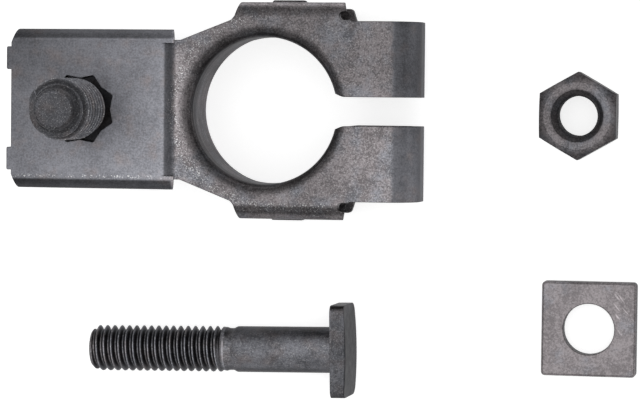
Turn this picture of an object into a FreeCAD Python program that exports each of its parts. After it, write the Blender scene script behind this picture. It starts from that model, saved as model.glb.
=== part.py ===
import FreeCAD, Part
import math
import os

# Battery terminal clamp, laid out with its T-bolt, nut and square washer beside it.
# Millimetres. The origin is on the axis of the post bore, halfway up the wall that grips the post.
# +X points from the bore to the ears, +Y across them, +Z up along the post.
# The pieces are built with their heights taken from the ground, and moved to the origin at the end.

# Strip that the clamp is stamped and folded from
sheet = 1.2
side_bend_outer = 1.8
flange_end_slant = 0.33
outline_round = 0.3
flange_plan_round = 0.2

# Ring round the battery post
ring_height = 11.0
post_radius = 9.45
lower_post_radius = 9.75
draw_radius = 1.4
lower_lead_in = 0.8
collar_wall = 0.95
collar_seam_height = 4.0
collar_seam_gap = 0.15

# Side flanges of the ring, bent down until they stand on the tabs of the lower leaf
ring_half_width = 13.9
ring_flange_start = -3.2
ring_flange_end = 10.3
ring_flange_corner = 0.6
flange_seat_gap = 0.1
bend_relief_radius = 0.53
bend_relief_web = 0.15
lower_leaf_inset = 0.6
lower_leaf_setback = 0.5
lower_leaf_end = -12.6
lower_leaf_corner = 3.0
lower_leaf_round = 0.5
lower_tab_reach = 0.5
lower_tab_width = 4.4
lower_tab_centre = 1.4

# Ears, folded over the clamp bolt
ear_reach = 19.85
ear_half_width = 11.5
ear_fold_radius = 4.4
slot_width = 3.7
slot_mouth_width = 4.6
slot_mouth_length = 1.2
slot_mouth_radius = 1.5

# Neck between the ring and the platform
neck_half_width = 8.97
neck_end = -10.85
shoulder_x = -4.2
shoulder_half_width = 11.6
shoulder_radius = 0.5

# Joggle that lifts the platform above the ring
joggle_foot = -11.45
joggle_run = 1.0
platform_lift = 1.2
joggle_radius = 0.5

# Platform for the cable lug
platform_left = -33.0
platform_half_width = 10.3
platform_flange_depth = 6.0
platform_flange_end = -11.3
platform_corner_lean = 0.6
platform_flange_corner = 1.2
end_tab_reach = 0.6
end_tab_width = 2.95
end_tab_offset = 6.5
end_tab_corner = 0.2

# Stud for the cable lug, M8, held in an eight-pointed hole
stud_inset = 9.2
star_points = 8
star_tip_radius = 4.67
star_valley_radius = 3.95
star_corner = 0.3
star_clearance = 0.05
star_recess = 0.6
stud_radius = 3.95
stud_blank_radius = 3.3
stud_blank_height = 1.5
stud_thread_top = 10.2
stud_cone_height = 0.9
stud_pilot_radius = 2.6
stud_pilot_chamfer = 0.3
stud_height = 12.7
stud_head_radius = 6.8
stud_head_height = 2.6
stud_head_chamfer = 0.5

# T-bolt, M6
bolt_radius = 3.0
bolt_length = 32.6
bolt_thread_length = 17.7
bolt_runout_length = 1.7
bolt_runout_radius = 2.75
bolt_tip_chamfer = 0.6
bolt_head_length = 12.0
bolt_head_width = 7.5
bolt_head_edge = 1.8
bolt_head_crown = 0.3
bolt_head_corner = 1.1

# Hexagon nut, M6
nut_across_flats = 9.8
nut_height = 5.0
nut_bore_radius = 2.55
nut_bore_chamfer_radius = 3.3
nut_face_radius = 4.35
nut_face_angle = 30.0

# Square washer
washer_side = 12.15
washer_thickness = 2.2
washer_hole_radius = 3.3
washer_corner = 0.5
washer_edge_chamfer = 0.2

# Where the loose pieces lie beside the clamp: x, y and the turn about Z in degrees
bolt_place = (8.44, -31.07, 1.06)
nut_place = (39.63, -0.27, -0.3)
washer_place = (41.2, -27.7, -0.1)

UP = FreeCAD.Vector(0, 0, 1)
ORIGIN = FreeCAD.Vector(0, 0, 0)

platform_top = ring_height + platform_lift
stud_x = platform_left + stud_inset
upper_collar_end = collar_seam_height + collar_seam_gap
grip_middle = (upper_collar_end + ring_height - draw_radius) / 2
margin = 5.0


def rounded_wire(corners, place):
    """A closed wire through corners (u, v, radius), with an arc of that radius at each corner."""
    edges = []
    ends = []
    count = len(corners)
    for i in range(count):
        before = FreeCAD.Vector(*corners[i - 1][:2], 0)
        here = FreeCAD.Vector(*corners[i][:2], 0)
        after = FreeCAD.Vector(*corners[(i + 1) % count][:2], 0)
        radius = corners[i][2]
        to_before = (before - here).normalize()
        to_after = (after - here).normalize()
        opening = to_before.getAngle(to_after)
        if radius == 0 or opening > math.pi - 1e-6:
            ends.append((here, here))
            continue
        reach = radius / math.tan(opening / 2)
        start = here + to_before * reach
        finish = here + to_after * reach
        bisector = (to_before + to_after).normalize()
        middle = here + bisector * (radius / math.sin(opening / 2) - radius)
        edges.append(Part.Arc(place(start), place(middle), place(finish)).toShape())
        ends.append((start, finish))
    for i in range(count):
        leave = ends[i][1]
        arrive = ends[(i + 1) % count][0]
        if leave.distanceToPoint(arrive) > 1e-6:
            edges.append(Part.LineSegment(place(leave), place(arrive)).toShape())
    return Part.Wire(Part.__sortEdges__(edges))


def flat_prism(corners, bottom, top):
    """The solid between two heights whose plan is a wire of corners."""
    wire = rounded_wire(corners, lambda p: FreeCAD.Vector(p.x, p.y, bottom))
    return Part.Face(wire).extrude(UP * (top - bottom))


def side_prism(corners, half_width):
    """The solid across the strip whose side view (x, z) is a wire of corners."""
    wire = rounded_wire(corners, lambda p: FreeCAD.Vector(p.x, -half_width, p.y))
    return Part.Face(wire).extrude(FreeCAD.Vector(0, 2 * half_width, 0))


def turned(profile):
    """The solid of revolution about Z of a profile of points (radius, z)."""
    points = [FreeCAD.Vector(r, 0, z) for r, z in profile]
    face = Part.Face(Part.makePolygon(points + points[:1]))
    return face.revolve(ORIGIN, UP, 360)


def mirrored_outline(half):
    """A whole outline from its half at positive y, given from left to right."""
    return half + [(x, -y, r) for x, y, r in reversed(half)]


def slant(distance):
    """How far a flange end leans in, a distance further round the bend."""
    return flange_end_slant * distance


def folded_strip():
    """The strip seen from the side: platform, joggle, upper leaf, ear fold and lower leaf."""
    joggle_top = joggle_foot - joggle_run
    ramp_angle = math.atan2(platform_lift, joggle_run)
    shift = sheet * math.tan(ramp_angle / 2)
    inner_fold = ear_fold_radius - sheet
    inner_joggle = joggle_radius + sheet
    corners = [
        (platform_left, platform_top, 0),
        (joggle_top, platform_top, inner_joggle),
        (joggle_foot, ring_height, joggle_radius),
        (ear_reach, ring_height, ear_fold_radius),
        (ear_reach, 0, ear_fold_radius),
        (lower_leaf_end, 0, 0),
        (lower_leaf_end, sheet, 0),
        (ear_reach - sheet, sheet, inner_fold),
        (ear_reach - sheet, ring_height - sheet, inner_fold),
        (joggle_foot - shift, ring_height - sheet, inner_joggle),
        (joggle_top - shift, platform_top - sheet, joggle_radius),
        (platform_left, platform_top - sheet, 0),
    ]
    return side_prism(corners, ring_half_width + margin)


def flat_limit(half_width):
    """The line where a side bend begins."""
    return half_width - side_bend_outer


def upper_outline():
    """Plan of the upper leaf, without its side flanges."""
    platform_flat = flat_limit(platform_half_width)
    ring_flat = flat_limit(ring_half_width)
    start = ring_flange_start - slant(ring_half_width - ring_flat)
    end = ring_flange_end + slant(ring_half_width - ring_flat)
    half = [
        (platform_left, platform_flat, 0),
        (joggle_foot - joggle_run, platform_flat, 0),
        (joggle_foot - joggle_run, neck_half_width, 0),
        (neck_end, neck_half_width, outline_round),
        (shoulder_x, shoulder_half_width, shoulder_radius),
        (start, ring_flat, 0),
        (end, ring_flat, 0),
        (end + slant(ring_flat - ear_half_width), ear_half_width, outline_round),
        (ear_reach + margin, ear_half_width, 0),
    ]
    return mirrored_outline(half)


def lower_outline():
    """Plan of the lower leaf, with the tabs that the ring's flanges stand on."""
    side = ring_half_width - lower_leaf_inset
    tab_left = lower_tab_centre - lower_tab_width / 2
    tab_right = lower_tab_centre + lower_tab_width / 2
    right = ring_flange_end - lower_leaf_setback
    half = [
        (lower_leaf_end, neck_half_width, lower_leaf_corner),
        (shoulder_x, shoulder_half_width, shoulder_radius),
        (ring_flange_start, side, lower_leaf_round),
        (tab_left, side, outline_round),
        (tab_left, ring_half_width + lower_tab_reach, outline_round),
        (tab_right, ring_half_width + lower_tab_reach, outline_round),
        (tab_right, side, outline_round),
        (right, side, lower_leaf_round),
        (right + slant(side - ear_half_width), ear_half_width, outline_round),
        (ear_reach + margin, ear_half_width, 0),
    ]
    return mirrored_outline(half)


def upper_collar():
    """The collar drawn down from the upper leaf, round at its rim, and the radius that it fills."""
    def at(radius, z):
        return FreeCAD.Vector(radius, 0, z)

    outside = post_radius + collar_wall
    root = post_radius + draw_radius
    reach = draw_radius * math.sqrt(0.5)
    wall_top = ring_height - draw_radius
    underside = ring_height - sheet
    rim = Part.Arc(
        at(post_radius, wall_top),
        at(root - reach, wall_top + reach),
        at(root, ring_height),
    )
    corners = [
        at(root, ring_height), at(root, underside), at(outside, underside),
        at(outside, upper_collar_end), at(post_radius, upper_collar_end), at(post_radius, wall_top),
    ]
    wire = Part.Wire([rim.toShape()] + Part.makePolygon(corners).Edges)
    return Part.Face(wire).revolve(ORIGIN, UP, 360), root


def lower_collar():
    """The collar drawn up from the lower leaf, with a lead-in for the post, and the radius that it fills."""
    outside = lower_post_radius + collar_wall
    profile = [
        (lower_post_radius, lower_lead_in), (lower_post_radius + lower_lead_in, 0),
        (outside, 0), (outside, collar_seam_height), (lower_post_radius, collar_seam_height),
    ]
    return turned(profile), outside


def bent_flange(left, right, half_width, top, bottom, side):
    """A side flange: the bend and the wall below it, before its ends are trimmed."""
    flat = flat_limit(half_width)
    inner = side_bend_outer - sheet
    outer_arc = side_bend_outer * math.sqrt(0.5)
    inner_arc = inner * math.sqrt(0.5)

    def at(y, z):
        return FreeCAD.Vector(left, side * y, z)

    inside = half_width - sheet
    bend_z = top - side_bend_outer
    edges = [
        Part.Arc(at(flat, top), at(flat + outer_arc, bend_z + outer_arc), at(half_width, bend_z)),
        Part.LineSegment(at(half_width, bend_z), at(half_width, bottom)),
        Part.LineSegment(at(half_width, bottom), at(inside, bottom)),
        Part.LineSegment(at(inside, bottom), at(inside, bend_z)),
        Part.Arc(at(inside, bend_z), at(flat + inner_arc, bend_z + inner_arc), at(flat, top - sheet)),
        Part.LineSegment(at(flat, top - sheet), at(flat, top)),
    ]
    wire = Part.Wire(Part.__sortEdges__([edge.toShape() for edge in edges]))
    return Part.Face(wire).extrude(FreeCAD.Vector(right - left, 0, 0))


def flange_trim(left, right, half_width, top, bottom, corner):
    """The room that a pair of flanges keeps: each end is (x at the bend's start, x at the wall)."""
    flat = flat_limit(half_width)
    deep = slant(top - bottom)
    plan = mirrored_outline([
        (left[0], flat, 0),
        (left[1], half_width, flange_plan_round),
        (right[1], half_width, flange_plan_round),
        (right[0], flat, 0),
    ])
    view = [
        (left[0], top, 0),
        (right[0], top, 0),
        (right[0] - deep, bottom, corner),
        (left[0] + deep, bottom, corner),
    ]
    return flat_prism(plan, bottom, top).common(side_prism(view, half_width))


def flange_pair(left, right, half_width, top, bottom, corner):
    """Both side flanges of the platform or of the ring."""
    room = flange_trim(left, right, half_width, top, bottom, corner)
    start = min(left) - margin
    end = max(right) + margin
    pair = [bent_flange(start, end, half_width, top, bottom, side) for side in (1, -1)]
    return [flange.common(room) for flange in pair]


def ring_flanges():
    """The ring's side flanges, which stand on the tabs of the lower leaf."""
    lean = slant(side_bend_outer)
    left = (ring_flange_start - lean, ring_flange_start)
    right = (ring_flange_end + lean, ring_flange_end)
    foot = sheet + flange_seat_gap
    return flange_pair(left, right, ring_half_width, ring_height, foot, ring_flange_corner)


def platform_flanges():
    """The platform's side flanges, which end free above the battery."""
    left = (platform_left, platform_left + platform_corner_lean)
    right = (platform_flange_end, platform_flange_end)
    foot = platform_top - platform_flange_depth
    return flange_pair(left, right, platform_half_width, platform_top, foot, platform_flange_corner)


def end_tabs():
    """The two stubs that the strip was cut from its carrier at."""
    tabs = []
    for side in (1, -1):
        middle = side * end_tab_offset
        corners = [
            (platform_left - end_tab_reach, middle - end_tab_width / 2, end_tab_corner),
            (platform_left + sheet, middle - end_tab_width / 2, 0),
            (platform_left + sheet, middle + end_tab_width / 2, 0),
            (platform_left - end_tab_reach, middle + end_tab_width / 2, end_tab_corner),
        ]
        tabs.append(flat_prism(corners, platform_top - sheet, platform_top))
    return tabs


def star(clearance, bottom, top):
    """The eight-pointed form of the stud's neck, or of its hole."""
    corners = []
    for i in range(2 * star_points):
        radius = (star_valley_radius if i % 2 else star_tip_radius) - clearance
        angle = math.pi / star_points * (i + 1)
        corners.append((stud_x + radius * math.cos(angle), radius * math.sin(angle), star_corner))
    return flat_prism(corners, bottom, top)


def slot():
    """The cut that splits the ring between the ears, a little wider at its mouth."""
    mouth = slot_mouth_width / 2
    gap = slot_width / 2
    mouth_x = math.sqrt(post_radius ** 2 - mouth ** 2)
    half = [
        (0, mouth, 0),
        (mouth_x, mouth, 0),
        (mouth_x + slot_mouth_length, gap, slot_mouth_radius),
        (ear_reach + margin, gap, 0),
    ]
    return flat_prism(mirrored_outline(half), -margin, ring_height + margin)


def bend_reliefs():
    """Round notches in the upper leaf, between the ring's flanges and the ears."""
    cutters = []
    middle = ring_flange_end + slant(side_bend_outer) - bend_relief_radius
    bottom = ring_height / 2
    height = ring_height + margin - bottom
    for side in (1, -1):
        centre = side * (ear_half_width + bend_relief_radius + bend_relief_web)
        cutters.append(Part.makeCylinder(bend_relief_radius, height, FreeCAD.Vector(middle, centre, bottom)))
        corner = FreeCAD.Vector(middle, centre - bend_relief_radius, bottom)
        cutters.append(Part.makeBox(margin, 2 * bend_relief_radius, height, corner))
    return cutters


def make_clamp_body():
    strip = folded_strip()
    middle = ring_height / 2
    upper_room = flat_prism(upper_outline(), middle, platform_top + margin)
    lower_room = flat_prism(lower_outline(), -margin, middle)
    down_collar, upper_root = upper_collar()
    up_collar, lower_root = lower_collar()
    upper_hole = Part.makeCylinder(upper_root, platform_top + margin - middle, UP * middle)
    lower_hole = Part.makeCylinder(lower_root, middle + margin, UP * -margin)
    upper = strip.common(upper_room).cut(upper_hole)
    lower = strip.common(lower_room).cut(lower_hole)
    pieces = [lower, down_collar, up_collar]
    body = upper.fuse(pieces + ring_flanges() + platform_flanges() + end_tabs())
    body = body.cut([slot(), star(0, middle, platform_top + margin)] + bend_reliefs())
    return body.removeSplitter()


def make_terminal_stud():
    top_of_neck = platform_top - star_recess
    underside = platform_top - sheet
    head_bottom = underside - stud_head_height
    head_edge = stud_head_radius - stud_head_chamfer
    head = turned([
        (0, head_bottom), (head_edge, head_bottom), (stud_head_radius, head_bottom + stud_head_chamfer),
        (stud_head_radius, underside), (0, underside),
    ])
    blank_top = platform_top + stud_blank_height
    thread_bottom = blank_top + (stud_radius - stud_blank_radius)
    thread_top = platform_top + stud_thread_top
    cone_top = thread_top + stud_cone_height
    tip = platform_top + stud_height
    tip_edge = stud_pilot_radius - stud_pilot_chamfer
    shank = turned([
        (0, underside), (stud_blank_radius, underside), (stud_blank_radius, blank_top),
        (stud_radius, thread_bottom), (stud_radius, thread_top), (stud_pilot_radius, cone_top),
        (stud_pilot_radius, tip - stud_pilot_chamfer), (tip_edge, tip), (0, tip),
    ])
    move = FreeCAD.Vector(stud_x, 0, 0)
    head.translate(move)
    shank.translate(move)
    neck = star(star_clearance, underside, top_of_neck)
    return neck.fuse([head, shank]).removeSplitter()


def make_clamp_bolt():
    """Built upright, head down, then laid down until its head and its tip touch the ground."""
    thread_start = bolt_length - bolt_thread_length
    runout_start = thread_start - bolt_runout_length
    step = bolt_radius - bolt_runout_radius
    shank = turned([
        (0, 0), (bolt_radius, 0), (bolt_radius, runout_start),
        (bolt_runout_radius, runout_start + step), (bolt_runout_radius, thread_start - step),
        (bolt_radius, thread_start), (bolt_radius, bolt_length - bolt_tip_chamfer),
        (bolt_radius - bolt_tip_chamfer, bolt_length), (0, bolt_length),
    ])
    half_length = bolt_head_length / 2
    half_width = bolt_head_width / 2
    thickness = bolt_head_edge + bolt_head_crown
    plan = mirrored_outline([
        (-half_width, half_length, bolt_head_corner),
        (half_width, half_length, bolt_head_corner),
    ])
    head = flat_prism(plan, -thickness, 0)
    crown_radius = (half_length ** 2 + bolt_head_crown ** 2) / (2 * bolt_head_crown)
    crown_axis = FreeCAD.Vector(-bolt_head_width, 0, crown_radius - thickness)
    crown = Part.makeCylinder(crown_radius, 2 * bolt_head_width, crown_axis, FreeCAD.Vector(1, 0, 0))
    head = head.common(crown)
    bolt = head.fuse(shank).removeSplitter()
    x, y, turn = bolt_place
    tilt = math.degrees(math.asin((half_width - bolt_radius) / (bolt_length - bolt_tip_chamfer)))
    bolt.rotate(ORIGIN, FreeCAD.Vector(0, 1, 0), -90 - tilt)
    bolt.translate(UP * (half_width * math.cos(math.radians(tilt))))
    bolt.rotate(ORIGIN, UP, turn)
    bolt.translate(FreeCAD.Vector(x, y, 0))
    return bolt


def lay_flat(shape, place):
    """Turns a piece about Z and moves it to its place on the ground."""
    x, y, turn = place
    shape.rotate(ORIGIN, UP, turn)
    shape.translate(FreeCAD.Vector(x, y, 0))
    return shape


def make_clamp_nut():
    corner_radius = nut_across_flats / 2 / math.cos(math.pi / 6)
    hexagon = []
    for i in range(6):
        angle = math.pi / 6 + i * math.pi / 3
        hexagon.append((corner_radius * math.cos(angle), corner_radius * math.sin(angle), 0))
    body = flat_prism(hexagon, 0, nut_height)
    drop = (corner_radius - nut_face_radius) * math.tan(math.radians(nut_face_angle))
    chamfered = turned([
        (0, 0), (nut_face_radius, 0), (corner_radius, drop),
        (corner_radius, nut_height - drop), (nut_face_radius, nut_height), (0, nut_height),
    ])
    chamfer = nut_bore_chamfer_radius - nut_bore_radius
    bore = turned([
        (0, 0), (nut_bore_chamfer_radius, 0), (nut_bore_radius, chamfer),
        (nut_bore_radius, nut_height - chamfer), (nut_bore_chamfer_radius, nut_height), (0, nut_height),
    ])
    return lay_flat(body.common(chamfered).cut(bore), nut_place)


def make_square_washer():
    half = washer_side / 2
    plan = mirrored_outline([(-half, half, washer_corner), (half, half, washer_corner)])
    plate = flat_prism(plan, 0, washer_thickness)
    rim = [edge for edge in plate.Edges if min(v.Z for v in edge.Vertexes) > washer_thickness - 1e-6]
    plate = plate.makeChamfer(washer_edge_chamfer, rim)
    hole = Part.makeCylinder(washer_hole_radius, washer_thickness)
    return lay_flat(plate.cut(hole), washer_place)


PIECES = {
    "clamp_body": make_clamp_body,
    "terminal_stud": make_terminal_stud,
    "clamp_bolt": make_clamp_bolt,
    "clamp_nut": make_clamp_nut,
    "square_washer": make_square_washer,
}

os.makedirs("parts", exist_ok=True)
for name, make in PIECES.items():
    piece = make()
    solids = piece.Solids
    print(name, "solids", len(solids), "valid", piece.isValid(), "volume", round(piece.Volume, 2))
    if len(solids) == 1:
        piece = solids[0]
    piece.translate(UP * -grip_middle)
    piece.exportStep(f"parts/{name}.step")
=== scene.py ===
import math

import bmesh
import bpy
from mathutils import Matrix, Vector


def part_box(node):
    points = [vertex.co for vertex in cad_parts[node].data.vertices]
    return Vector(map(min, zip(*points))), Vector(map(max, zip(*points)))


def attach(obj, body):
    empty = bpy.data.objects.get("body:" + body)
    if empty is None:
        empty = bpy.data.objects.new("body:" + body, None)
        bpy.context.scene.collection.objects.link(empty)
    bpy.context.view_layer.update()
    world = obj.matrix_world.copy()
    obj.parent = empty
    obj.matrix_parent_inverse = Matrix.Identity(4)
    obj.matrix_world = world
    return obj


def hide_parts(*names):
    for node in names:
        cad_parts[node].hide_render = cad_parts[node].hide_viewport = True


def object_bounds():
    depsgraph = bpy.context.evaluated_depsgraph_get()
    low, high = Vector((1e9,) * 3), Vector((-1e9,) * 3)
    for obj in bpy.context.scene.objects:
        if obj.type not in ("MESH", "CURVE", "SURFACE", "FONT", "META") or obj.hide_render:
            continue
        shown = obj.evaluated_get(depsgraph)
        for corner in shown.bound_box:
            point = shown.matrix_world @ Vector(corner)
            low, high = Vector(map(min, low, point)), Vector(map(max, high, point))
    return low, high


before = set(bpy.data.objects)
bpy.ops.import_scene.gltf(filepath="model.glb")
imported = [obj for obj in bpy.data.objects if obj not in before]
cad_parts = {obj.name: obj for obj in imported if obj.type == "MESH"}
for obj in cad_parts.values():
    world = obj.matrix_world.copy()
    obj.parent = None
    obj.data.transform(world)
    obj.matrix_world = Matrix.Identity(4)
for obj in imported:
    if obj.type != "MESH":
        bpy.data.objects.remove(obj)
cad_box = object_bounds()

# Clamp body. One strip of 1.2 mm steel, blanked, drawn round the post bore, folded over at the ears and
# bent down along its sides, then plated a dull grey. Tumbling has rounded its cut edges a little, the
# platform is smoother and bluer than the worked ring, and the near bends are rubbed bright. The bore's rim
# carries bright specks that are partly rubbed and partly a painted highlight.
mm = 0.001
platform_top = 5.325
fold_depth = 3.2
fold_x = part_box("clamp_body")[1].x / mm - fold_depth

# The plating's patterns with the size of their features in millimetres, and how they make up its tone.
patterns = {
    "clouds": {"size": 4.0, "detail": 3},
    "mottle": {"size": 0.9, "detail": 4, "roughness": 0.65},
    "fine": {"size": 0.24, "detail": 2, "roughness": 0.7},
    "stain": {"size": 2.6, "detail": 3},
    "speck": {"size": 0.17, "detail": 1},
}
tone_shares = {"clouds": 0.25, "mottle": 0.3, "fine": 0.45}
tone_ends, stain_ends, speck_ends = (0.4, 0.6), (0.42, 0.72), (0.6, 0.7)
pink, bluish = (1.06, 0.97, 1.0, 1), (0.97, 0.98, 1.08, 1)
speck_grey = 0.62
edge_shade_ends, edge_shade = (0.998, 0.93), 0.85

# Painted light and shade on the clamp's faces, lighter towards the near side and the ears, where light falls:
# between which two places in millimetres each slope runs, and from which level to which. Along is the way
# from the platform to the ears, and across is the way over them.
clamp_light_slopes = {
    "platform_along": ((-32, -14), (0.55, 1.2)),
    "platform_across": ((9, -9), (0.0, 0.54)),
    "ring_across": ((12, -12), (0.72, 0.97)),
    "ears_along": ((9, 13), (0.0, 1.0)),
    "ears_across": ((4, -4), (0.06, 0.36)),
    "neck_along": ((-12, -8), (0.7, 0.0)),
}

# Where each mark on the clamp fades in, or where it lies and how far it reaches, in millimetres. Near is
# the side towards -Y and far the side towards +Y.
clamp_places = {
    "joggle": (-12.0, -11.4),
    "ear_fold": (fold_x - 0.2, fold_x + 0.5),
    "drawn_rim": (11.2, 10.3),
    "drawn_height": (0.6, 1.4),
    "ring_bend": (12.7, 0.9),
    "near_half": (1.0, -1.0),
    "near_bend": (-8.9, -9.3),
    "far_bend": (8.7, 9.2),
    "far_flange": (13.3, 13.7),
    "tabs": (13.92, 13.98),
    "stud_hole": (platform_top - 0.05, platform_top - 0.15),
    "rim_specks_and_glint": (11.8, 0.8),
    "glint_half": (2.0, -6.0),
    "rubbed_bend": (-8.7, 0.3),
    "rubbed_edge": (-12.3, 0.8),
    "bore_wall": (10.3, 9.9),
}
# Painted shade: how much darker the drawn rim, the fold, the bends, the tabs and the platform below its top
# are; far is painted light on the far bend and flange. The near bends get more of the painted shade, and the
# far flange's painted light is doubled.
clamp_painted_shading = {"drawn": 0.6, "fold": 0.32, "bends": 0.42, "far": 0.4, "tabs": 0.7, "hole": 0.6}
bends_far, bends_near, flange_far = 0.9, 0.6, 2.0
# The rim's specks are partly rubbed and partly a painted highlight.
clamp_rubbed = {"rim": 0.9, "ring": 0.32, "all": 0.03}
bore_lines = {"stretch": (0.04, 0.04, 1.0), "size": 0.35, "tone": 3.5, "depth": 3.0}


def put(tree, kind, inputs=None, **options):
    """Adds a node, sets its options, and gives each named input its value or its link."""
    made = tree.nodes.new(kind)
    for key, value in options.items():
        setattr(made, key, value)
    for key, value in (inputs or {}).items():
        if isinstance(value, bpy.types.NodeSocket):
            tree.links.new(value, made.inputs[key])
        else:
            made.inputs[key].default_value = value
    return made


def calc(tree, operation, *values, clamp=False):
    """One step of arithmetic on numbers or sockets."""
    inputs = dict(enumerate(values))
    return put(tree, "ShaderNodeMath", inputs, operation=operation, use_clamp=clamp).outputs[0]


def plus(tree, total, *others):
    """The sum of numbers or sockets."""
    for other in others:
        total = calc(tree, "ADD", total, other)
    return total


def times(tree, product, *others):
    """The product of numbers or sockets."""
    for other in others:
        product = calc(tree, "MULTIPLY", product, other)
    return product


def minus(tree, whole, part):
    """What is left of the whole without the part."""
    return calc(tree, "SUBTRACT", whole, part)


def dimmed(tree, level, shade, share):
    """The level, darker by a share of itself where the shade is 1."""
    return times(tree, level, minus(tree, 1.0, times(tree, shade, share)))


def off_axis(tree, x, y):
    """How far a place is from the upright axis."""
    return calc(tree, "SQRT", plus(tree, times(tree, x, x), times(tree, y, y)))


def ramp(tree, value, low, high):
    """0 below low, 1 above high, and smooth between them. With low above high it falls instead."""
    inputs = {"Value": value, "From Min": low, "From Max": high}
    return put(tree, "ShaderNodeMapRange", inputs, interpolation_type="SMOOTHSTEP").outputs[0]


def fade(tree, value, start, end):
    """As ramp, between two places in millimetres."""
    return ramp(tree, value, start * mm, end * mm)


def band(tree, value, centre, reach):
    """1 at a place in millimetres, and 0 beyond its reach on either side."""
    core = 0.3 * reach
    return fade(tree, calc(tree, "ABSOLUTE", minus(tree, value, centre * mm)), reach, core)


def slope(tree, value, places, levels):
    """Runs evenly from one level to another between two places in millimetres."""
    inputs = {"Value": value, "From Min": places[0] * mm, "From Max": places[1] * mm}
    inputs.update({"To Min": levels[0], "To Max": levels[1]})
    return put(tree, "ShaderNodeMapRange", inputs).outputs[0]


def noise(tree, place, size, detail=2.0, roughness=0.55):
    """Noise whose features are about size millimetres across."""
    inputs = {"Vector": place, "Scale": 1 / (size * mm), "Detail": detail, "Roughness": roughness}
    return put(tree, "ShaderNodeTexNoise", inputs).outputs[0]


def tinted(tree, factor, first, second, blend="MIX"):
    """Mixes two colours, each a socket or a value. A Mix node's colours are its inputs 6 and 7."""
    inputs = {0: factor, 6: first, 7: second}
    return put(tree, "ShaderNodeMix", inputs, data_type="RGBA", blend_type=blend).outputs[2]


def grey(level):
    """A neutral colour."""
    return (level, level, level, 1)


def plated_steel(name, marks, dark, light, rough, edge, wall_shade, steep=(0.65, 0.1)):
    """Dull plating: cloudy tone, fine grain and bright specks.

    Its edges are worn to a radius of edge millimetres, and painted darker there as shade. Walls get painted
    shade, darker by the share given as wall_shade, and steep says at which upward slant that begins and where
    it is whole.
    """
    middle, contrast, calm, stained = 0.5, 1.1, 0.6, 0.2
    finish = bpy.data.materials.new(name)
    finish.use_nodes = True
    tree = finish.node_tree
    skin = tree.nodes["Principled BSDF"]
    place = put(tree, "ShaderNodeTexCoord").outputs["Object"]
    facing = put(tree, "ShaderNodeNewGeometry").outputs["Normal"]
    softened = put(tree, "ShaderNodeBevel", {"Radius": edge * mm}, samples=6).outputs[0]
    level, rubbed, blue, extra = marks(tree, place)

    seen = {key: noise(tree, place, **kind) for key, kind in patterns.items()}
    tone = plus(tree, *[times(tree, seen[key], share) for key, share in tone_shares.items()])
    swing = minus(tree, contrast, calc(tree, "MULTIPLY", blue, calm, clamp=True))
    tone = plus(tree, times(tree, minus(tree, tone, middle), swing), middle)
    colour = tinted(tree, ramp(tree, tone, *tone_ends), grey(dark), grey(light))
    hue = plus(tree, seen["stain"], times(tree, blue, stained))
    stain = tinted(tree, ramp(tree, hue, *stain_ends), pink, bluish)
    colour = tinted(tree, 1.0, colour, stain, "MULTIPLY")
    speck = calc(tree, "MULTIPLY", ramp(tree, seen["speck"], *speck_ends), rubbed, clamp=True)
    colour = tinted(tree, speck, colour, grey(speck_grey))

    upright = calc(tree, "ABSOLUTE", put(tree, "ShaderNodeSeparateXYZ", {0: facing}).outputs[2])
    turned = put(tree, "ShaderNodeVectorMath", {0: facing, 1: softened}, operation="DOT_PRODUCT")
    # Painted shade: walls and steep faces are darker, and a painted line of shade runs along every rounded
    # edge.
    level = dimmed(tree, level, ramp(tree, upright, *steep), wall_shade)
    level = dimmed(tree, level, ramp(tree, turned.outputs["Value"], *edge_shade_ends), edge_shade)
    shaded = put(tree, "ShaderNodeVectorMath", {0: colour, "Scale": level}, operation="SCALE").outputs[0]
    tree.links.new(shaded, skin.inputs["Base Color"])
    skin.inputs["Metallic"].default_value = 0.9
    skin.inputs["Specular Tint"].default_value = (0.6, 0.6, 0.61, 1)

    uneven, mottle_height = 0.3, 0.6
    gloss = plus(tree, times(tree, seen["mottle"], uneven), rough - uneven * middle)
    tree.links.new(gloss, skin.inputs["Roughness"])
    height = plus(tree, times(tree, seen["mottle"], mottle_height), seen["fine"], extra)
    relief = {"Height": height, "Strength": 0.8, "Distance": 0.02 * mm, "Normal": softened}
    tree.links.new(put(tree, "ShaderNodeBump", relief).outputs[0], skin.inputs["Normal"])
    return finish


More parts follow.
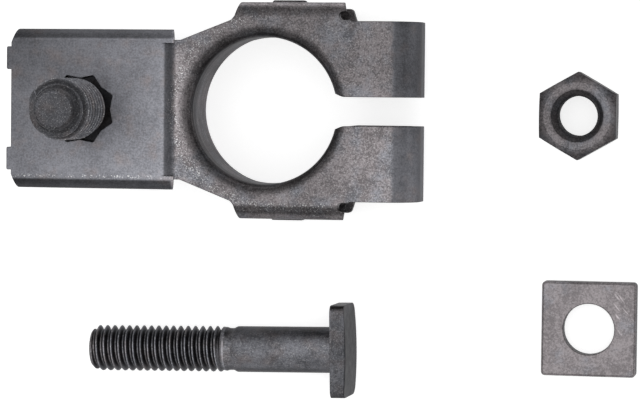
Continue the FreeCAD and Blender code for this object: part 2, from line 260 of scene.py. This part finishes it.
def clamp_marks(tree, place):
    """The clamp's painted light and shade from place to place, its specks where it is rubbed bright or paints
    a highlight, and its drawing lines.
    """
    x, y, z = put(tree, "ShaderNodeSeparateXYZ", {0: place}).outputs
    side = calc(tree, "ABSOLUTE", y)
    radius = off_axis(tree, x, y)
    at, light_slopes = clamp_places, clamp_light_slopes
    ring = fade(tree, x, *at["joggle"])
    platform = minus(tree, 1.0, ring)
    fold = fade(tree, x, *at["ear_fold"])

    # Painted light on the top of the platform and the upper leaf, lighter towards the near side and the ears.
    top = plus(tree, slope(tree, x, *light_slopes["platform_along"]), slope(tree, y, *light_slopes["platform_across"]))
    ears = times(tree, slope(tree, x, *light_slopes["ears_along"]), slope(tree, y, *light_slopes["ears_across"]))
    leaf = plus(tree, slope(tree, y, *light_slopes["ring_across"]), ears, slope(tree, x, *light_slopes["neck_along"]))
    level = plus(tree, times(tree, top, platform), times(tree, leaf, ring))

    # Painted shade on the drawn rim, the bends and the fold, and painted light on the far bend and flange.
    drawn = times(tree, fade(tree, radius, *at["drawn_rim"]), fade(tree, z, *at["drawn_height"]))
    nearer = plus(tree, times(tree, fade(tree, y, *at["near_half"]), bends_near), bends_far)
    ring_bends = times(tree, band(tree, side, *at["ring_bend"]), nearer, ring)
    bends = plus(tree, ring_bends, times(tree, fade(tree, y, *at["near_bend"]), platform))
    far_bend = times(tree, fade(tree, y, *at["far_bend"]), platform)
    far = plus(tree, far_bend, times(tree, fade(tree, y, *at["far_flange"]), flange_far))
    dull = plus(
        tree,
        times(tree, drawn, clamp_painted_shading["drawn"]),
        times(tree, fold, clamp_painted_shading["fold"]),
        times(tree, bends, clamp_painted_shading["bends"]),
    )
    dull = minus(tree, dull, times(tree, far, clamp_painted_shading["far"]))
    level = times(tree, level, minus(tree, 1.0, dull))
    # Painted shade on the tabs, and on all of the platform below its top face, which darkens the stud's
    # recess.
    level = dimmed(tree, level, fade(tree, side, *at["tabs"]), clamp_painted_shading["tabs"])
    hole = times(tree, fade(tree, z, *at["stud_hole"]), platform)
    level = dimmed(tree, level, hole, clamp_painted_shading["hole"])

    # Rubbed on the rim's far arc, where the bright specks are also a painted highlight, and along the near
    # bends, and a little over the whole ring.
    rim = times(tree, band(tree, radius, *at["rim_specks_and_glint"]), fade(tree, x, *at["glint_half"]))
    rubbed = plus(
        tree,
        times(tree, rim, clamp_rubbed["rim"]),
        times(tree, band(tree, y, *at["rubbed_bend"]), platform),
        times(tree, band(tree, y, *at["rubbed_edge"]), ring),
        times(tree, ring, clamp_rubbed["ring"]),
        clamp_rubbed["all"],
    )
    rubbed = times(tree, rubbed, minus(tree, 1.0, fold))

    # Drawing lines run round the bore's wall.
    stretch = {0: place, 1: bore_lines["stretch"]}
    drawn_place = put(tree, "ShaderNodeVectorMath", stretch, operation="MULTIPLY").outputs[0]
    lines = minus(tree, noise(tree, drawn_place, bore_lines["size"]), 0.5)
    lines = times(tree, lines, fade(tree, radius, *at["bore_wall"]))
    level = times(tree, level, plus(tree, times(tree, lines, bore_lines["tone"]), 1.0))
    blue = calc(tree, "MAXIMUM", platform, fold)
    return level, rubbed, blue, times(tree, lines, bore_lines["depth"])


body_steel = plated_steel(
    "clamp_plating", clamp_marks, dark=0.11, light=0.26, rough=0.45, edge=0.16, wall_shade=0.4,
)
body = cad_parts["clamp_body"]
body.data.materials.clear()
body.data.materials.append(body_steel)

# Terminal stud. An M8 screw, cold-headed below the platform, its eight-pointed neck pressed into the
# platform's hole. The rolled thread ends in a cone and a plain pilot, and the plating on it is dark.
ground = cad_box[0].z
stud_x = -23.8
stud_thread = {"Pitch": 1.25, "Major Radius": 3.95, "Depth": 0.7625, "Start": 13.5, "Runout": 1.0}
stud_root = {"radius": 3.3, "foot": 12.4, "end": 13.7}
stud_heights = {"neck": 12.5, "thread": 14.35, "thread_end": 22.4, "cone_end": 23.3, "tip": 24.9}
stud_pilot = 2.6
stud_rim = [(0.0, -0.35), (-0.1, -0.1), (-0.35, 0.0), (-0.45, 0.0)]
neck_shade = (12.35, 12.75)
neck_level = 0.28
shank_lighter = 0.62
pilot_shade_bands = ((-0.35, 0.3, 0.45), (1.2, 1.62, 0.25))
groove_crest = ((0.0, 0.02), (0.3, 0.05))
groove_flank = ((0.3, 0.6), (1.0, 0.94))
flank_shade, crest_highlight = 0.5, 1.2
rings_per_turn = 14
lathe_around = 96
sharp_edge = math.radians(28)


def merged_mesh(node, name):
    """The CAD node's surface as one connected mesh, smooth where it curves and sharp at its edges."""
    shell = bmesh.new()
    shell.from_mesh(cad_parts[node].data)
    touching = 0.002 * mm
    bmesh.ops.remove_doubles(shell, verts=shell.verts, dist=touching)
    shell.verts.index_update()
    mesh = bpy.data.meshes.new(name)
    points = [v.co.copy() for v in shell.verts]
    mesh.from_pydata(points, [], [[v.index for v in face.verts] for face in shell.faces])
    shell.free()
    mesh.shade_smooth()
    mesh.set_sharp_from_angle(angle=sharp_edge)
    return mesh


def finished(name, mesh, finish, replaced):
    """Sets a piece in the scene with its finish, in place of its CAD node."""
    piece = bpy.data.objects.new(name, mesh)
    bpy.context.collection.objects.link(piece)
    mesh.materials.clear()
    mesh.materials.append(finish)
    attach(piece, "root")
    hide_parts(replaced)


def lathe(name, profile, around):
    """A closed surface turned about Z through points (radius, height) in millimetres."""
    turn = [2 * math.pi * i / around for i in range(around)]
    rows = [[(0, 0, profile[0][1])]]
    for radius, height in profile:
        rows.append([(radius * math.cos(t), radius * math.sin(t), height) for t in turn])
    rows.append([(0, 0, profile[-1][1])])
    points = [tuple(c * mm for c in p) for row in rows for p in row]
    last = len(points) - 1
    faces = []
    for i in range(around):
        j = (i + 1) % around
        faces.append((0, 1 + j, 1 + i))
        for k in range(len(profile) - 1):
            low = 1 + k * around
            faces.append((low + i, low + j, low + around + j, low + around + i))
        top = 1 + (len(profile) - 1) * around
        faces.append((top + i, top + j, last))
    mesh = bpy.data.meshes.new(name)
    mesh.from_pydata(points, [], faces)
    mesh.shade_smooth()
    return mesh


def spaced(radius, start, end, pitch):
    """Points up a straight wall, close enough together to take a thread of that pitch."""
    count = max(1, round((end - start) * rings_per_turn / pitch))
    return [(radius, start + (end - start) * i / count) for i in range(count + 1)]


def tapered(first, last, steps):
    """Points up a taper, after its first point."""
    points = []
    for i in range(1, steps + 1):
        points.append(tuple(a + (b - a) * i / steps for a, b in zip(first, last)))
    return points


def thread_tree():
    """Cuts a 60 degree thread into a turned surface, fading out over the run-out at its start."""
    crest, flank_width, least = 0.05, 0.78, 1e-6
    tree = bpy.data.node_groups.new("cut_thread", "GeometryNodeTree")
    tree.interface.new_socket("Geometry", in_out="INPUT", socket_type="NodeSocketGeometry")
    for name in ("Pitch", "Major Radius", "Depth", "Start", "Runout"):
        tree.interface.new_socket(name, in_out="INPUT", socket_type="NodeSocketFloat")
    tree.interface.new_socket("Material", in_out="INPUT", socket_type="NodeSocketMaterial")
    tree.interface.new_socket("Geometry", in_out="OUTPUT", socket_type="NodeSocketGeometry")
    given = tree.nodes.new("NodeGroupInput").outputs
    place = put(tree, "GeometryNodeInputPosition").outputs[0]
    x, y, z = put(tree, "ShaderNodeSeparateXYZ", {0: place}).outputs
    radius = off_axis(tree, x, y)

    # How deep the groove is: 0 on the crest, 1 in the root, and less where the thread runs out.
    turns = calc(tree, "DIVIDE", calc(tree, "ARCTAN2", y, x), 2 * math.pi)
    phase = calc(tree, "FRACT", minus(tree, calc(tree, "DIVIDE", z, given["Pitch"]), turns))
    swing = calc(tree, "ABSOLUTE", minus(tree, times(tree, phase, 2.0), 1.0))
    flank = calc(tree, "DIVIDE", minus(tree, swing, crest), flank_width, clamp=True)
    rise = calc(tree, "DIVIDE", minus(tree, z, given["Start"]), given["Runout"], clamp=True)
    groove = times(tree, flank, rise)
    cut = minus(tree, given["Major Radius"], times(tree, groove, given["Depth"]))

    # Each point moves in to the groove, and stays where it is if it lies deeper already.
    safe_radius = calc(tree, "MAXIMUM", radius, 0.1 * least)
    shrink = calc(tree, "DIVIDE", calc(tree, "MINIMUM", cut, radius), safe_radius)
    moved = put(tree, "ShaderNodeCombineXYZ", {0: times(tree, x, shrink), 1: times(tree, y, shrink), 2: z})
    reached = calc(tree, "LESS_THAN", cut, minus(tree, radius, least))
    marked = {"Geometry": given["Geometry"], "Name": "groove", "Value": times(tree, groove, reached)}
    held = put(tree, "GeometryNodeStoreNamedAttribute", marked, data_type="FLOAT", domain="POINT").outputs[0]
    placed = {"Geometry": held, "Position": moved.outputs[0]}
    cut_in = put(tree, "GeometryNodeSetPosition", placed).outputs[0]
    whole = put(tree, "GeometryNodeRealizeInstances", {0: cut_in}).outputs[0]
    finish = {"Geometry": whole, "Material": given["Material"]}
    dressed = put(tree, "GeometryNodeSetMaterial", finish).outputs[0]
    put(tree, "NodeGroupOutput", {0: dressed})
    return tree


cut_thread = thread_tree()


def threaded(mesh, finish, sizes):
    """The mesh with a thread of those sizes, in millimetres, cut into it, as a plain mesh."""
    blank = bpy.data.objects.new("blank", mesh)
    bpy.context.collection.objects.link(blank)
    cutter = blank.modifiers.new("thread", "NODES")
    cutter.node_group = cut_thread
    for socket in cut_thread.interface.items_tree:
        if socket.in_out == "INPUT" and socket.name in sizes:
            cutter[socket.identifier] = sizes[socket.name] * mm
        if socket.in_out == "INPUT" and socket.name == "Material":
            cutter[socket.identifier] = finish
    settled = bpy.context.evaluated_depsgraph_get()
    result = bpy.data.meshes.new_from_object(blank.evaluated_get(settled))
    bpy.data.objects.remove(blank)
    return result


def cut_off(mesh, height, place):
    """Keeps what lies below a height, and closes the cut. Place is where the piece's own upright frame is."""
    shell = bmesh.new()
    shell.from_mesh(mesh)
    shell.transform(place.inverted())
    everything = shell.verts[:] + shell.edges[:] + shell.faces[:]
    bmesh.ops.bisect_plane(
        shell, geom=everything, plane_co=(0, 0, height * mm), plane_no=(0, 0, 1), clear_outer=True,
    )
    bmesh.ops.holes_fill(shell, edges=[e for e in shell.edges if e.is_boundary])
    shell.transform(place)
    shell.to_mesh(mesh)
    shell.free()
    return mesh


def joined(name, first, second):
    """Two meshes as one."""
    shell = bmesh.new()
    shell.from_mesh(first)
    shell.from_mesh(second)
    mesh = bpy.data.meshes.new(name)
    shell.to_mesh(mesh)
    shell.free()
    return mesh


def thread_marks(tree, place):
    """The thread's flanks carry painted shade and are nearly black, its crests a painted highlight, and its
    roots are lighter again.
    """
    groove = put(tree, "ShaderNodeAttribute", attribute_name="groove").outputs["Fac"]
    (crest_low, crest_high), (flank_low, flank_high) = groove_crest, groove_flank
    crest = times(tree, ramp(tree, groove, *crest_high), ramp(tree, groove, *crest_low))
    flank = times(tree, ramp(tree, groove, *flank_low), ramp(tree, groove, *flank_high))
    # Painted shade on the flanks and a painted highlight on the crests.
    level = plus(tree, dimmed(tree, 1.0, flank, flank_shade), times(tree, crest, crest_highlight))
    rubbed, blue, extra = 0.3, 0.7, 0.0
    return level, rubbed, blue, extra


def stud_marks(tree, place):
    """As on any thread, with painted shade: the neck in its hole is black, and the pilot is dark at its foot
    and its rim.
    """
    level, rubbed, blue, extra = thread_marks(tree, place)
    height = minus(tree, put(tree, "ShaderNodeSeparateXYZ", {0: place}).outputs[2], ground)
    # Painted shade: the neck, down in the platform's hole, is near black.
    above = fade(tree, height, *neck_shade)
    level = times(tree, level, plus(tree, times(tree, above, shank_lighter), neck_level))
    soft = 0.1
    # Painted shade at the pilot's foot and its rounded rim.
    for start, end, depth in pilot_shade_bands:
        low, high = stud_heights["cone_end"] + start, stud_heights["cone_end"] + end
        inside = times(tree, fade(tree, height, low, low + soft), fade(tree, height, high, high - soft))
        level = dimmed(tree, level, inside, depth)
    return level, times(tree, above, rubbed), blue, extra


stud_steel = plated_steel(
    "stud_plating", stud_marks, dark=0.052, light=0.13, rough=0.45, edge=0.08, wall_shade=0.35,
)
stud_radius = stud_thread["Major Radius"]
thread_top = (stud_radius, stud_heights["thread_end"])
stud_points = [(stud_root["radius"], stud_root["foot"]), (stud_root["radius"], stud_root["end"])]
stud_points += spaced(stud_radius, stud_heights["thread"], stud_heights["thread_end"], stud_thread["Pitch"])
stud_points += tapered(thread_top, (stud_pilot, stud_heights["cone_end"]), steps=8)
stud_points += [(stud_pilot + inwards, stud_heights["tip"] + down) for inwards, down in stud_rim]
shank = threaded(lathe("stud_shank", stud_points, lathe_around), stud_steel, stud_thread)
shank.transform(Matrix.Translation((stud_x * mm, 0, ground)))
neck = cut_off(
    merged_mesh("terminal_stud", "stud_neck"), stud_heights["neck"], Matrix.Translation((0, 0, ground)),
)
finished("stud", joined("stud", neck, shank), stud_steel, "terminal_stud")

# Clamp bolt. An M6 T-bolt, headed and rolled: 17 turns of thread, a short narrowed run-out where rolling
# began, a plain shank, and a flat T-shaped head that the folded ears stop from turning. It lies as it came
# to rest, on an end of its head and on its tip.
bolt_radius = 3.0
bolt_length = 32.6
bolt_chamfer = 0.6
bolt_head_half = 3.75
bolt_cut = 0.05
bolt_place = (8.44, -31.07)
bolt_turn = math.radians(1.06)
thread_start = 14.9
bolt_thread = {"Pitch": 1.0, "Major Radius": bolt_radius, "Depth": 0.6, "Start": 14.5, "Runout": 0.9}
bolt_plain = [(bolt_radius, -0.4), (bolt_radius, 0.0), (bolt_radius, 12.9)]
bolt_runout = [(2.93, 13.1), (2.8, 13.3), (2.75, 13.5), (2.75, 14.0), (2.8, 14.2), (2.87, 14.4)]
bolt_end = 0.1
head_foot, head_darkened = (-0.1, 0.1), 0.4
crown_foot, crown_darkened = (1.75, 1.85), 0.25

tilt = math.asin((bolt_head_half - bolt_radius) / (bolt_length - bolt_chamfer))
lying = (
    Matrix.Translation((bolt_place[0] * mm, bolt_place[1] * mm, ground))
    @ Matrix.Rotation(bolt_turn, 4, "Z")
    @ Matrix.Translation((0, 0, bolt_head_half * math.cos(tilt) * mm))
    @ Matrix.Rotation(-math.pi / 2 - tilt, 4, "Y")
)
chamfer_start = (bolt_radius, bolt_length - bolt_chamfer)
chamfer_end = (bolt_radius - bolt_chamfer, bolt_length)
bolt_points = bolt_plain + bolt_runout
bolt_points += spaced(bolt_radius, thread_start, bolt_length - bolt_chamfer, bolt_thread["Pitch"])
bolt_points += tapered(chamfer_start, chamfer_end, steps=6)
bolt_points.append((bolt_radius - bolt_chamfer - bolt_end, bolt_length))


def bolt_marks(tree, place):
    """As on any thread, and darker over the head than over the shank, most of all at its crown."""
    level, rubbed, blue, extra = thread_marks(tree, place)
    along = minus(tree, put(tree, "ShaderNodeSeparateXYZ", {0: place}).outputs[0], bolt_place[0] * mm)
    head = times(tree, fade(tree, along, *head_foot), head_darkened)
    crown = times(tree, fade(tree, along, *crown_foot), crown_darkened)
    return times(tree, level, minus(tree, 1.0, plus(tree, head, crown))), rubbed, blue, extra


bolt_steel = plated_steel(
    "bolt_plating", bolt_marks, dark=0.09, light=0.235, rough=0.4, edge=0.12, wall_shade=0.66, steep=(0.95, 0.5),
)
bolt_shank = threaded(lathe("bolt_shank", bolt_points, lathe_around), bolt_steel, bolt_thread)
bolt_shank.transform(lying)
head = cut_off(merged_mesh("clamp_bolt", "bolt_head"), bolt_cut, lying)
finished("t_bolt", joined("t_bolt", head, bolt_shank), bolt_steel, "clamp_bolt")

# Clamp nut. A plain M6 hexagon nut, forged, chamfered at both faces, countersunk and tapped. Its flat ring
# is painted lighter, and the chamfered corners and the countersink are painted darker as shade.
nut_place = (39.63, -0.27)
nut_height = 5.0
nut_thread = {"Pitch": 1.0, "Major Radius": bolt_radius, "Depth": 0.56, "Start": -3.0, "Runout": 1.0}
tap_spare = 1.0
tap_around = 72
nut_painted_levels = {"corners": 0.47, "ring": 0.4, "countersink": -0.06}
nut_ring = ((3.2, 3.7), (5.1, 4.4))
nut_countersink = (3.5, 3.3)
nut_rubbed = 0.2


def nut_marks(tree, place):
    """Painted light on the flat ring, and painted shade out to the corners and in the countersink."""
    middle = {0: place, 1: (nut_place[0] * mm, nut_place[1] * mm, 0)}
    centred = put(tree, "ShaderNodeVectorMath", middle, operation="SUBTRACT").outputs[0]
    x, y = put(tree, "ShaderNodeSeparateXYZ", {0: centred}).outputs[:2]
    radius = off_axis(tree, x, y)
    ring = times(tree, fade(tree, radius, *nut_ring[0]), fade(tree, radius, *nut_ring[1]))
    sunk = fade(tree, radius, *nut_countersink)
    # Painted light on the flat ring and painted shade in the countersink.
    lighter = times(tree, ring, nut_painted_levels["ring"])
    darker = times(tree, sunk, nut_painted_levels["countersink"])
    blue, extra = 0.1, 0.0
    return plus(tree, lighter, darker, nut_painted_levels["corners"]), times(tree, ring, nut_rubbed), blue, extra


nut_steel = plated_steel(
    "nut_plating", nut_marks, dark=0.1, light=0.23, rough=0.42, edge=0.2, wall_shade=0.5,
)
tap_points = spaced(bolt_radius, -tap_spare, nut_height + tap_spare, nut_thread["Pitch"])
tap = threaded(lathe("tap", tap_points, tap_around), nut_steel, nut_thread)
tap.transform(Matrix.Translation((nut_place[0] * mm, nut_place[1] * mm, ground)))
tapped = bpy.data.objects.new("tap", tap)
bpy.context.collection.objects.link(tapped)
nut_blank = bpy.data.objects.new("nut_blank", merged_mesh("clamp_nut", "nut_blank"))
bpy.context.collection.objects.link(nut_blank)
nut_blank.data.materials.clear()
nut_blank.data.materials.append(nut_steel)
cutting = nut_blank.modifiers.new("tap", "BOOLEAN")
cutting.object = tapped
cutting.operation = "DIFFERENCE"
cutting.solver = "EXACT"
settled = bpy.context.evaluated_depsgraph_get()
nut_mesh = bpy.data.meshes.new_from_object(nut_blank.evaluated_get(settled))
nut_mesh.name = "hexagon_nut"
bpy.data.objects.remove(nut_blank)
bpy.data.objects.remove(tapped)
nut_mesh.shade_smooth()
nut_mesh.set_sharp_from_angle(angle=sharp_edge)
finished("hexagon_nut", nut_mesh, nut_steel, "clamp_nut")

# Square washer. Blanked from 2.2 mm plate with a plain round hole, its edges tumbled, its face lightly
# scratched where it has rubbed against its neighbours.
scratch_corner = (45.0 * mm, -25.6 * mm, ground + 2.2 * mm)
scratch_reach = (3.2, 1.8)
scratch_turn = math.radians(-50)
scratch_length = 10
scratch_ends, scratch_bright = (0.58, 0.66), 0.9


def washer_marks(tree, place):
    """A few long scratches towards one corner, on a plate that is rubbed a little all over."""
    along = {"Vector": place, "Rotation": (0, 0, scratch_turn), "Scale": (scratch_length, 1, 1)}
    turned = put(tree, "ShaderNodeMapping", along, vector_type="TEXTURE").outputs[0]
    hairs = ramp(tree, noise(tree, turned, size=0.3, detail=1), *scratch_ends)
    ends = {0: place, 1: scratch_corner}
    reach = put(tree, "ShaderNodeVectorMath", ends, operation="DISTANCE").outputs["Value"]
    scratches = times(tree, hairs, fade(tree, reach, *scratch_reach))
    rubbed, blue, extra = 0.12, -0.4, 0.0
    return plus(tree, times(tree, scratches, scratch_bright), 1.0), rubbed, blue, extra


washer_steel = plated_steel(
    "washer_plating", washer_marks, dark=0.165, light=0.3, rough=0.42, edge=0.25, wall_shade=0.78,
)
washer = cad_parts["square_washer"]
washer.data.materials.clear()
washer.data.materials.append(washer_steel)

# Floor. A wide matt white table, which keeps the pieces' shadows. What the camera and the metal see of
# it is lifted to white, without more light on the pieces.
floor_half = 3.0
floor_grey = 0.6
floor_glow = 0.72
corners = [(-1, -1), (1, -1), (1, 1), (-1, 1)]
floor_mesh = bpy.data.meshes.new("floor")
floor_mesh.from_pydata([(x * floor_half, y * floor_half, ground) for x, y in corners], [], [(0, 1, 2, 3)])
floor = bpy.data.objects.new("floor", floor_mesh)
bpy.context.collection.objects.link(floor)
table = bpy.data.materials.new("table_white")
table.use_nodes = True
tree = table.node_tree
tree.nodes.clear()
rays = put(tree, "ShaderNodeLightPath").outputs
seen = calc(tree, "MAXIMUM", rays["Is Camera Ray"], rays["Is Glossy Ray"])
seen = calc(tree, "MAXIMUM", seen, rays["Is Transmission Ray"])
glow = put(tree, "ShaderNodeEmission", {"Strength": times(tree, seen, floor_glow)})
matt = put(tree, "ShaderNodeBsdfDiffuse", {"Color": grey(floor_grey)})
both = put(tree, "ShaderNodeAddShader", {0: glow.outputs[0], 1: matt.outputs[0]})
put(tree, "ShaderNodeOutputMaterial", {"Surface": both.outputs[0]})
floor_mesh.materials.append(table)

# Light. A bright ceiling and a pale horizon with a darker room between them, and one weak, wide lamp
# high over the far side. Each strength is reached between two heights on the room's round wall.
room_strength = 0.34
ceiling_strength, ceiling_heights = 0.6, (0.32, 0.82)
horizon_strength, horizon_heights = 0.55, (0.5, 0.12)
world = bpy.data.worlds.new("studio")
bpy.context.scene.world = world
world.use_nodes = True
tree = world.node_tree
sky = tree.nodes["Background"]
way = put(tree, "ShaderNodeTexCoord").outputs["Generated"]
upwards = put(tree, "ShaderNodeSeparateXYZ", {0: way}).outputs[2]
ceiling = times(tree, ramp(tree, upwards, *ceiling_heights), ceiling_strength)
horizon = times(tree, ramp(tree, upwards, *horizon_heights), horizon_strength)
tree.links.new(plus(tree, ceiling, horizon, room_strength), sky.inputs["Strength"])
sky.inputs["Color"].default_value = grey(1)

lamp = bpy.data.lights.new("softbox", "AREA")
lamp.shape = "RECTANGLE"
lamp.size = 0.5
lamp.size_y = 0.4
lamp.energy = 0.35
softbox = bpy.data.objects.new("softbox", lamp)
bpy.context.collection.objects.link(softbox)
softbox.location = (0.02, 0.05, 0.6)
softbox.rotation_euler = (-Vector(softbox.location)).to_track_quat("-Z", "Y").to_euler()

# Camera. High above the table and a little to the right, leaning to the left as the photograph was
# taken, with a long lens.
camera_height = 0.370
camera_turn = (-2.154, 10.627, 0.577)
camera = bpy.data.cameras.new("camera")
camera.sensor_width = 36
camera.lens = 161.35
eye = bpy.data.objects.new("camera", camera)
bpy.context.collection.objects.link(eye)
eye.location = (0.0748, 0.003, ground + camera_height)
eye.rotation_euler = [math.radians(angle) for angle in camera_turn]
bpy.context.scene.camera = eye
bpy.context.scene.view_settings.view_transform = "Standard"
